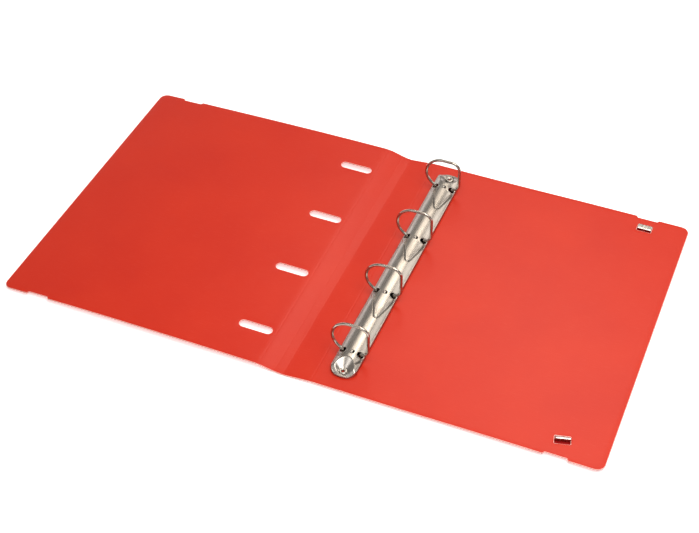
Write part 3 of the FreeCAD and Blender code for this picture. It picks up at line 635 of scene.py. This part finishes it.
# Each strap window's middle and its turn in degrees.
WINDOWS = {"near": (STRAP_X + 0.4, -140.0, 13.0), "far": (STRAP_X, FAR_ANCHOR - ANCHOR_SHIFT, 0.0)}
for x, y, turn in WINDOWS.values():
    back_loops.append(turned(window_loop(0.0, 0.0, WINDOW_LENGTH, WINDOW_WIDTH, 0.8), x, y, turn))
RIVET_REACH = 139.5
NEAR_RIVET = (HOUSING_X, -RIVET_REACH, FACE)
FAR_RIVET = (HOUSING_X, RIVET_REACH, FACE)
RIVET_HOLE = 2.3
back_loops += [circle_loop(p[0], p[1], RIVET_HOLE) for p in (NEAR_RIVET, FAR_RIVET)]
back_sheet = plate("back_cover_sheet", back_loops, grid_points(back_columns, ROWS),
                   face_height, under_height, CUT_RADIUS, (REAR_SEAM,))
sheet_piece(back_sheet, ["back_cover", "rear_crease_web"])


# ------------------------------------------------------------------ ring housing

# Heights are above the cover; LEG is the wire legs' distance from the housing's middle line.
CROWN = 8.5
SIDE = 4.0
HALF_WIDTH = (HOUSING_HIGH[0] - HOUSING_LOW[0]) / 2
WALL = 0.9
ARCH_CENTRE = (HALF_WIDTH ** 2 + SIDE ** 2 - CROWN ** 2) / (2 * (SIDE - CROWN))
ARCH_RADIUS = CROWN - ARCH_CENTRE
SEAT = 2.2
LEG = 8.5
SHOULDER = 0.4
NEAR_END = HOUSING_LOW[1]
FAR_END = HOUSING_HIGH[1]


def soft_min(a, b, k):
    """The lower of two heights, eased over k where they cross."""
    h = np.clip(0.5 + 0.5 * (b - a) / k, 0.0, 1.0)
    return b + (a - b) * h - k * h * (1 - h)


def segment_distance(x, y, a, b):
    a = np.array(a, float)
    run = np.array(b, float) - a
    t = np.clip(((x - a[0]) * run[0] + (y - a[1]) * run[1]) / (run @ run), 0, 1)
    return np.hypot(x - a[0] - t * run[0], y - a[1] - t * run[1])


# Lines of the pressed marks, measured from the housing's middle line and the ring beyond them.
VEE = ((-5.4, -14.0), (1.2, -30.6), (1.9, -32.2), (3.1, -33.0), (4.6, -33.0), (5.8, -32.2), (6.6, -30.2),
       (9.2, -18.0), (11.2, -5.5))
LEAF = ((-10.6, -3.2), (-9.2, -6.5), (-6.6, -12.6))


def line_distance(x, y, line, middle):
    """Distance to a chain of segments moved along the housing by middle."""
    gaps = [segment_distance(x, y, (a[0], a[1] + middle), (b[0], b[1] + middle))
            for a, b in zip(line[:-1], line[1:])]
    return np.minimum.reduce(gaps)


def mark_distance(x, y):
    """Distance to the nearest pressed V, which the near end's dish cuts short."""
    gaps = [line_distance(x, y, VEE, middle) for middle in RING_Y[1:]]
    gaps.append(line_distance(x, y, ((8.9, -11.0), (11.2, -5.5)), RING_Y[0]))
    return np.minimum.reduce(gaps)


def housing_top(x, y):
    """Outer face above the cover, over the housing's own middle line."""
    x = np.asarray(x, float)
    y = np.asarray(y, float)
    height = ARCH_CENTRE + np.sqrt(ARCH_RADIUS ** 2 - np.clip(x, -HALF_WIDTH, HALF_WIDTH) ** 2)
    for end, way in ((NEAR_END, 1), (FAR_END, -1)):
        inward = (y - end) * way
        slope = SEAT + (CROWN - SEAT) * np.clip((inward - 2.0) / 12.0, 0.0, 1.3)
        height = soft_min(height, slope, 0.8)
    for rivet in (NEAR_RIVET, FAR_RIVET):
        r = np.hypot(x, y - rivet[1])
        cone = SEAT + (CROWN - SEAT) * np.clip((r - 4.0) / 8.5, 0.0, 1.5)
        height = soft_min(height, cone, 0.5)
    height = height - 0.5 * bell(mark_distance(x, y), 0.5)
    for index, middle in enumerate(RING_Y):
        leaf = line_distance(x, y, LEAF if index else LEAF[:2], middle)
        height = height + 0.3 * bell(leaf, 0.9)
        boss = np.hypot(x - 0.2, y - middle)
        height = height + 0.75 * (1 - smooth((boss - 0.9) / 1.2))
        for side in (-1, 1):
            rim = np.hypot(x - side * LEG, y - middle) - 3.7
            height = height + 0.18 * bell(rim, 0.5)
    return height


def housing_outline():
    """Plan outline of the housing, counter-clockwise, with a nearly round end each way."""
    near = HALF_WIDTH - 1.6
    far = HALF_WIDTH - 2.1
    points = arc_points((-HALF_WIDTH + near, NEAR_END + near), near, 180, 270, 14)
    points += arc_points((HALF_WIDTH - near, NEAR_END + near), near, 270, 360, 14)
    side = np.arange(NEAR_END + near + 2.0, FAR_END - far - 1.0, 2.0)
    points += [(HALF_WIDTH, y) for y in side]
    points += arc_points((HALF_WIDTH - far, FAR_END - far), far, 0, 90, 14)
    points += arc_points((-HALF_WIDTH + far, FAR_END - far), far, 90, 180, 14)
    points += [(-HALF_WIDTH, y) for y in side[::-1]]
    return points


def oval_loop(x, y, half_x, half_y, count=26):
    return [(x + half_x * math.cos(-2 * math.pi * k / count), y + half_y * math.sin(-2 * math.pi * k / count))
            for k in range(count)]


def crescent_loop(x, y):
    """Pierced crescent beside the small boss, clockwise."""
    outer = arc_points((x, y), 2.3, 60, -60, 10)
    inner = arc_points((x - 0.6, y), 1.75, -72, 72, 8)
    return outer + inner[1:-1]


def housing_holes():
    """Leg openings, pierced crescents and rivet holes, clockwise."""
    holes = []
    for middle in RING_Y:
        holes += [oval_loop(-LEG + 0.2, middle + 0.8, 2.9, 3.0), oval_loop(LEG - 0.15, middle, 2.9, 3.2)]
        holes.append(crescent_loop(0.4, middle))
    return holes + [circle_loop(0.0, rivet[1], RIVET_HOLE, 26) for rivet in (NEAR_RIVET, FAR_RIVET)]


def housing_rows():
    """Grid rows along the housing, close together at its ends and at the pressed marks."""
    ys = [NEAR_END]
    while ys[-1] < FAR_END:
        busy = ys[-1] < -112 or ys[-1] > 122 or any(m - 37 < ys[-1] < m + 5 for m in RING_Y[1:])
        ys.append(ys[-1] + (0.4 if busy else 1.6))
    return np.array(ys)


def make_housing():
    """Pressed housing as one closed shell, with a rolled outer edge and rounded openings."""
    outline = np.asarray(housing_outline(), float)
    holes = housing_holes()
    shoulder = offset_loop(outline, SHOULDER)
    hole_inner = [offset_loop(hole, 0.15) for hole in holes]
    loops = [shoulder] + hole_inner
    grid = grid_points(np.linspace(-HALF_WIDTH, HALF_WIDTH, 61), housing_rows())
    grid = grid[inside(grid, loops)]
    grid = grid[clear_of(grid, loops, 0.35)]
    flat, triangles = triangulate(loops, grid)
    count = len(flat)
    upper = np.column_stack([flat, housing_top(flat[:, 0], flat[:, 1])])
    points = [upper, upper - np.array([0.0, 0.0, WALL])]
    faces = triangles.tolist() + (triangles[:, ::-1] + count).tolist()

    def add_ring(loop, level):
        first = sum(len(block) for block in points)
        points.append(np.column_stack([loop, np.broadcast_to(level, len(loop))]))
        return np.arange(first, first + len(loop))

    def stitch(rings):
        for a, b in zip(rings[:-1], rings[1:]):
            size = len(a)
            for i in range(size):
                j = (i + 1) % size
                faces.append([int(b[i]), int(b[j]), int(a[j]), int(a[i])])

    size = len(outline)
    rim = housing_top(shoulder[:, 0], shoulder[:, 1])
    rings = [np.arange(size)]
    for k in range(1, 6):
        t = math.pi / 2 * k / 5
        ring = offset_loop(outline, SHOULDER * (1 - math.sin(t)))
        rings.append(add_ring(ring, rim - SHOULDER * 0.9 * (1 - math.cos(t))))
    for inset, level in ((0.0, 0.25), (0.15, 0.05), (0.4, 0.0), (0.85, 0.0), (WALL, 0.1)):
        rings.append(add_ring(offset_loop(outline, inset), level))
    rings.append(np.arange(size) + count)
    stitch(rings)
    first = size
    for hole, inner in zip(holes, hole_inner):
        size = len(hole)
        rim = housing_top(inner[:, 0], inner[:, 1])
        rings = [np.arange(first, first + size)]
        for inset, drop in ((0.04, 0.05), (0.0, 0.18), (0.0, WALL - 0.18), (0.04, WALL - 0.05)):
            rings.append(add_ring(offset_loop(hole, inset), rim - drop))
        rings.append(np.arange(first, first + size) + count)
        stitch(rings)
        first += size
    points = np.vstack(points)
    # Painted shade for the metal's colour: how near each point is to a pressed groove.
    marks = bell(mark_distance(points[:, 0], points[:, 1]), 0.55)
    thing = make_object("ring_housing_shell", points + np.array([HOUSING_X, 0.0, FACE]), faces, sharp=55)
    pressed = thing.data.attributes.new("pressed", "FLOAT", "POINT")
    pressed.data.foreach_set("value", marks.astype(np.float32))
    return thing


finish_piece(make_housing(), "back_cover", [NICKEL], ["ring_housing"])


# ------------------------------------------------------------------ rings

WIRE_RADIUS = 1.4


def wire_arc(centre, radius, start, end, step=4.0):
    """Arc points about one step (degrees) apart."""
    return arc_points(centre, radius, start, end, max(3, int(abs(end - start) / step)))


def left_ring_path():
    """Round half of a ring from its tip to its foot, as (x, height), and the ring's top."""
    radius, bend, shift, rise = 17.2, 1.8, 1.1, 0.8
    offset = LEG + bend - shift
    top = CROWN + rise + math.sqrt(radius ** 2 - offset ** 2) + radius
    centre = (-shift, top - radius)
    turn_in = math.degrees(math.asin(offset / radius))
    points = [(-0.05, top), (-0.6, top)]
    points += wire_arc(centre, radius, 90, 270 - turn_in)
    heading = math.radians(-turn_in)
    start_x = -LEG - bend * (1 + math.sin(heading))
    end_z = points[-1][1] + (start_x - points[-1][0]) * math.tan(heading)
    bend_centre = (-LEG - bend, end_z - bend * math.cos(heading))
    points += wire_arc(bend_centre, bend, 90 - turn_in, 0, 10.0)
    points += [(-LEG, bend_centre[1] - (bend_centre[1] - 1.0) * t) for t in (0.3, 0.6, 1.0)]
    return points, top


def right_ring_path(top):
    """Straight half of a ring from its tip to its foot, as (x, height)."""
    reach, corner, bend, wrap, rise = 15.9, 8.5, 3.0, 70.0, -0.4
    lower = (reach - LEG - bend) / (1 - math.cos(math.radians(wrap)))
    turn_z = CROWN + rise
    foot = turn_z + lower * math.sin(math.radians(wrap))
    points = [(0.05, top), (0.6, top)]
    points += [(x, top) for x in np.linspace(2.0, reach - corner - 1.0, 4)]
    points += wire_arc((reach - corner, top - corner), corner, 90, 0)
    points += [(reach, z) for z in np.linspace(top - corner - 1.5, foot + 1.0, 5)]
    points += wire_arc((reach - lower, foot), lower, 0, -wrap)
    heading = math.radians(90.0 + wrap)
    bend_x = LEG + bend * (1 - math.sin(heading))
    bend_z = turn_z - (LEG + bend - bend_x) * math.tan(math.radians(90.0 - wrap))
    centre = (LEG + bend, bend_z - bend * abs(math.cos(heading)))
    points += wire_arc(centre, bend, 180.0 - wrap, 180.0, 8.0)
    last = points[-1]
    points += [(LEG, last[1] - (last[1] - 1.0) * t) for t in (0.3, 0.6, 1.0)]
    return points


left_path, RING_TOP = left_ring_path()
right_path = right_ring_path(RING_TOP)
for number, middle in enumerate(RING_Y, 1):
    for side, path in (("left", left_path), ("right", right_path)):
        line = [(HOUSING_X + x, middle, FACE + z) for x, z in path]
        ring = tube(f"{side}_ring_wire_{number}", line, WIRE_RADIUS)
        finish_piece(ring, f"{side}_ring_set", [WIRE], [f"{side}_half_ring_{number}"])

# The hinge plates inside the housing keep their CAD shape.
for plate_node in ("left_hinge_plate", "right_hinge_plate"):
    thing = frame["nodes"][plate_node]
    thing.data.materials.clear()
    thing.data.materials.append(NICKEL)


# ------------------------------------------------------------------ rivets and their caps

def rolled_rivet(name, middle, node):
    """Tubular rivet with its flange rolled over the housing."""
    outline = [(1.2, -2.6), (2.2, -2.6), (2.2, SEAT - 0.05), (2.7, SEAT), (3.2, SEAT), (3.5, SEAT + 0.15)]
    outline += [(3.6, SEAT + 0.4), (3.5, SEAT + 0.62), (3.2, SEAT + 0.78), (2.75, SEAT + 0.85)]
    outline += [(2.3, SEAT + 0.8), (1.9, SEAT + 0.6), (1.6, SEAT + 0.3), (1.4, SEAT - 0.1), (1.2, SEAT - 0.7)]
    piece = lathe(name, outline, middle)
    return finish_piece(piece, "back_cover", [RIVET], [node])


def rivet_plug(name, middle):
    """Red disc seen down the rivet's bore."""
    outline = [(0.02, 0.2), (0.02, 0.9), (0.7, 0.85), (1.05, 0.7), (1.15, 0.4), (1.15, 0.2)]
    piece = lathe(name, outline, middle, 24)
    return finish_piece(piece, "back_cover", [RED])


def domed_cap(name, middle, node):
    """Rivet's outer cap under the back cover."""
    low, high = node_box(node)
    deep = high[2] - low[2]
    outline = [(0.05, 0.12), (2.0, 0.08), (4.2, 0.0), (5.0, 0.05), (5.55, 0.3), (5.9, 0.75), (6.0, 1.2)]
    outline += [(6.0, deep), (5.2, deep), (5.1, 1.0), (2.3, 0.85), (0.05, 0.85)]
    piece = lathe(name, outline, (middle[0], middle[1], low[2]), 56)
    return finish_piece(piece, "back_cover", [RIVET], [node])


rolled_rivet("near_rolled_rivet", NEAR_RIVET, "near_rivet")
rolled_rivet("far_rolled_rivet", FAR_RIVET, "far_rivet")
rivet_plug("near_rivet_plug", NEAR_RIVET)
rivet_plug("far_rivet_plug", FAR_RIVET)
domed_cap("near_outer_cap", NEAR_RIVET, "near_rivet_cap")
domed_cap("far_outer_cap", FAR_RIVET, "far_rivet_cap")


# ------------------------------------------------------------------ strap

def strap_curve():
    """Round braided elastic that runs under the back cover and up through both windows."""
    under = 1.25
    line = [(FAR_ANCHOR, FACE + 0.4), (FAR_ANCHOR, under), (FAR_ANCHOR - 15.0, under),
            (NEAR_ANCHOR + 15.0, under), (NEAR_ANCHOR, under), (NEAR_ANCHOR, FACE + 0.6)]
    curve = bpy.data.curves.new("elastic_cord", "CURVE")
    curve.dimensions = "3D"
    spline = curve.splines.new("NURBS")
    spline.points.add(len(line) - 1)
    for point, (y, z) in zip(spline.points, line):
        point.co = (STRAP_X * MM, y * MM, z * MM, 1.0)
    spline.order_u = 3
    spline.use_endpoint_u = True
    spline.resolution_u = 16
    curve.bevel_depth = 1.22 * MM
    curve.bevel_resolution = 5
    curve.use_fill_caps = True
    source = bpy.data.objects.new("elastic_cord_line", curve)
    bpy.context.scene.collection.objects.link(source)
    bpy.context.view_layer.update()
    mesh = bpy.data.meshes.new_from_object(source)
    bpy.data.objects.remove(source)
    thing = bpy.data.objects.new("elastic_cord", mesh)
    bpy.context.scene.collection.objects.link(thing)
    return thing


finish_piece(strap_curve(), "back_cover", [ELASTIC], ["elastic_strap"])


def strap_bar(name, node, seat, turn, tilt):
    """Pressed metal end bar: a rounded plate with a turned-down rim and a crimp across it.

    Seat is the middle of its underside; it is turned about Z and then tilted about its own length.
    """
    half_length, half_width, height = 7.0, 3.2, 1.7
    loop = window_loop(0.0, 0.0, 2 * half_length, 2 * half_width, 1.2)[::-1]

    def top(x, y):
        edge = np.minimum(half_length - np.abs(x), half_width - np.abs(y))
        crimp = 0.35 * bell(x, 1.3)
        return height - 0.45 * (1 - smooth(edge / 0.9)) - crimp

    def bottom(x, y):
        return np.zeros_like(np.asarray(x, float))

    grid = grid_points(np.linspace(-half_length, half_length, 46), np.linspace(-half_width, half_width, 21))
    piece = plate(name, [loop], grid, top, bottom, 0.25, gap=0.25)
    place = Matrix.Translation(Vector(seat) * MM) @ Matrix.Rotation(math.radians(turn), 4, "Z")
    piece.data.transform(place @ Matrix.Rotation(math.radians(tilt), 4, "X"))
    return finish_piece(piece, "back_cover", [BAR, BAR, BAR], [node])


# The near bar stands on its long edge in its window; the far one lies flat.
strap_bar("near_end_bar", "near_strap_bar", (STRAP_X + 0.9, -139.9, 4.6), 14.5, -66.0)
strap_bar("far_end_bar", "far_strap_bar", (STRAP_X, FAR_ANCHOR, FACE + 0.25), 0.0, 0.0)


def strap_fold(name, x, y, turn):
    """Red strap folded flat behind its window, in a darker red that paints the window's shade as well as the
    strap's own colour.
    """
    half_x, half_y = 7.8, 5.0
    loop = window_loop(0.0, 0.0, 2 * half_x, 2 * half_y, 1.2)[::-1]

    def top(a, b):
        edge = np.minimum(half_x - np.abs(a), half_y - np.abs(b))
        return UNDERSIDE - 0.15 - 0.8 * smooth(edge / 2.6)

    def bottom(a, b):
        return top(a, b) - 0.6

    grid = grid_points(np.linspace(-half_x, half_x, 26), np.linspace(-half_y, half_y, 18))
    piece = plate(name, [loop], grid, top, bottom, 0.15, gap=0.3)
    place = Matrix.Translation(Vector((x, y, 0.0)) * MM)
    piece.data.transform(place @ Matrix.Rotation(math.radians(turn), 4, "Z"))
    return finish_piece(piece, "back_cover", [STRAP_SHADE_RED, STRAP_SHADE_RED, STRAP_SHADE_RED])


for end, window in WINDOWS.items():
    strap_fold(f"{end}_strap_fold", *window)


# ------------------------------------------------------------------ stage

FLOOR_REACH = 1.6
FLOOR_DROP = -0.0002


def stage_floor():
    """White table top, in metres, just under the binder."""
    mesh = bpy.data.meshes.new("floor")
    ends = (-FLOOR_REACH, FLOOR_REACH)
    corners = [(ends[i], ends[j], FLOOR_DROP) for i, j in ((0, 0), (1, 0), (1, 1), (0, 1))]
    mesh.from_pydata(corners, [], [(0, 1, 2, 3)])
    thing = bpy.data.objects.new("floor", mesh)
    bpy.context.scene.collection.objects.link(thing)
    s = Shader("floor_white")
    s.colour_from(s.blend_colours(s.noise(3.0), (0.80, 0.80, 0.80, 1.0), (0.84, 0.84, 0.84, 1.0)))
    s.set(Roughness=0.7, Specular_IOR_Level=0.1, Emission_Color=(1.0, 1.0, 1.0, 1.0), Emission_Strength=0.62)
    thing.data.materials.append(s.material)


stage_floor()


def softbox(name, place, target, size, power, tint=(1.0, 1.0, 1.0)):
    """Rectangular lamp that faces the target; lengths in metres, power in watts."""
    lamp = bpy.data.lights.new(name, "AREA")
    lamp.shape = "RECTANGLE"
    lamp.size, lamp.size_y = size
    lamp.energy = power
    lamp.color = tint
    thing = bpy.data.objects.new(name, lamp)
    thing.location = place
    thing.rotation_euler = (Vector(target) - Vector(place)).to_track_quat("-Z", "Y").to_euler()
    bpy.context.scene.collection.objects.link(thing)
    return thing


# These three only show as reflections, mostly in the metal.
for name, place, size, power in (("left_glint", (-0.5, -0.74, 0.9), (0.6, 0.3), 1.6),
                                 ("right_glint", (0.85, -0.15, 0.9), (0.35, 0.5), 1.6),
                                 ("flank_card", (-0.98, 0.98, 0.3), (0.8, 0.24), 0.7)):
    softbox(name, place, (0.05, -0.13, 0.0), size, power).visible_diffuse = False
softbox("key_softbox", (0.32, -0.28, 0.95), (0.14, -0.03, 0.0), (0.7, 0.7), 8.3, (1.0, 0.98, 0.94))
softbox("back_softbox", (-0.16, 0.94, 1.1), (0.08, -0.05, 0.0), (0.5, 0.5), 2.5, (1.0, 0.92, 0.80))
softbox("side_softbox", (0.16, 0.74, 1.1), (0.2, -0.12, 0.0), (0.3, 0.34), 1.8, (1.0, 0.92, 0.80))
softbox("left_card", (-1.6, 1.4, 0.4), (0.0, 0.0, 0.0), (1.6, 0.5), 1.3, (1.0, 0.96, 0.95))
softbox("right_card", (0.75, 1.1, 0.9), (0.0, 0.0, 0.0), (0.7, 0.6), 2.7, (1.0, 0.95, 0.88))


def dark_flag(name, place, target, size):
    """Black card that only shows in reflections."""
    mesh = bpy.data.meshes.new(name)
    a, b = size[0] / 2, size[1] / 2
    mesh.from_pydata([(-a, -b, 0.0), (a, -b, 0.0), (a, b, 0.0), (-a, b, 0.0)], [], [(0, 1, 2, 3)])
    thing = bpy.data.objects.new(name, mesh)
    thing.location = place
    thing.rotation_euler = (Vector(target) - Vector(place)).to_track_quat("-Z", "Y").to_euler()
    bpy.context.scene.collection.objects.link(thing)
    s = Shader(name)
    s.colour_from(s.blend_colours(s.noise(3.0), (0.01, 0.01, 0.01, 1.0), (0.02, 0.02, 0.02, 1.0)))
    s.set(Roughness=0.9, Specular_IOR_Level=0.0)
    thing.data.materials.append(s.material)
    thing.visible_camera = False
    thing.visible_shadow = False
    thing.visible_diffuse = False


dark_flag("front_flag", (0.24, -0.64, 0.90), (0.05, -0.13, 0.0), (0.42, 0.3))


def backdrop():
    """White surround that only the camera sees, so that low views have no grey band above the floor."""
    reach = 7.0
    mesh = bpy.data.meshes.new("backdrop")
    corners = [(x, y, z) for z in (-reach, reach) for x, y in
               ((-reach, -reach), (reach, -reach), (reach, reach), (-reach, reach))]
    walls = [(k, (k + 1) % 4, (k + 1) % 4 + 4, k + 4) for k in range(4)] + [(4, 5, 6, 7), (3, 2, 1, 0)]
    mesh.from_pydata(corners, [], walls)
    thing = bpy.data.objects.new("backdrop", mesh)
    bpy.context.scene.collection.objects.link(thing)
    s = Shader("backdrop_white")
    s.colour_from(s.blend_colours(s.noise(3.0), (0.80, 0.80, 0.80, 1.0), (0.84, 0.84, 0.84, 1.0)))
    s.set(Roughness=0.9, Specular_IOR_Level=0.0, Emission_Color=(1.0, 1.0, 1.0, 1.0), Emission_Strength=1.0)
    thing.data.materials.append(s.material)
    thing.visible_diffuse = False
    thing.visible_glossy = False
    thing.visible_transmission = False
    thing.visible_volume_scatter = False
    thing.visible_shadow = False


backdrop()

world = bpy.data.worlds.new("studio")
bpy.context.scene.world = world
world.use_nodes = True
world.node_tree.nodes["Background"].inputs["Color"].default_value = (1.0, 0.97, 0.93, 1.0)
world.node_tree.nodes["Background"].inputs["Strength"].default_value = 0.36
bpy.context.scene.view_settings.view_transform = "Standard"


# Turns are azimuth, elevation and roll in degrees; the target and lens are in mm, the distance in metres.
CAMERA_TURNS = (22.516, 43.839, -0.149)
CAMERA_TARGET = (0.257, -9.582, 0.0)
CAMERA_LENS = 73.3
CAMERA_DISTANCE = 1.3495


def make_camera():
    """Camera fitted to the ring spacing and the covers' edges."""
    azimuth, elevation, roll = (math.radians(turn) for turn in CAMERA_TURNS)
    target = Vector(CAMERA_TARGET) * MM
    back = Vector((math.sin(azimuth) * math.cos(elevation), -math.cos(azimuth) * math.cos(elevation),
                   math.sin(elevation)))
    data = bpy.data.cameras.new("camera")
    data.lens = CAMERA_LENS
    data.sensor_width = 36.0
    data.clip_start, data.clip_end = 0.01, 50.0
    thing = bpy.data.objects.new("camera", data)
    bpy.context.scene.collection.objects.link(thing)
    thing.location = target + back * CAMERA_DISTANCE
    facing = back.to_track_quat("Z", "Y").to_matrix() @ Matrix.Rotation(roll, 3, "Z")
    thing.rotation_euler = facing.to_euler()
    bpy.context.scene.camera = thing


make_camera()

bpy.context.view_layer.update()
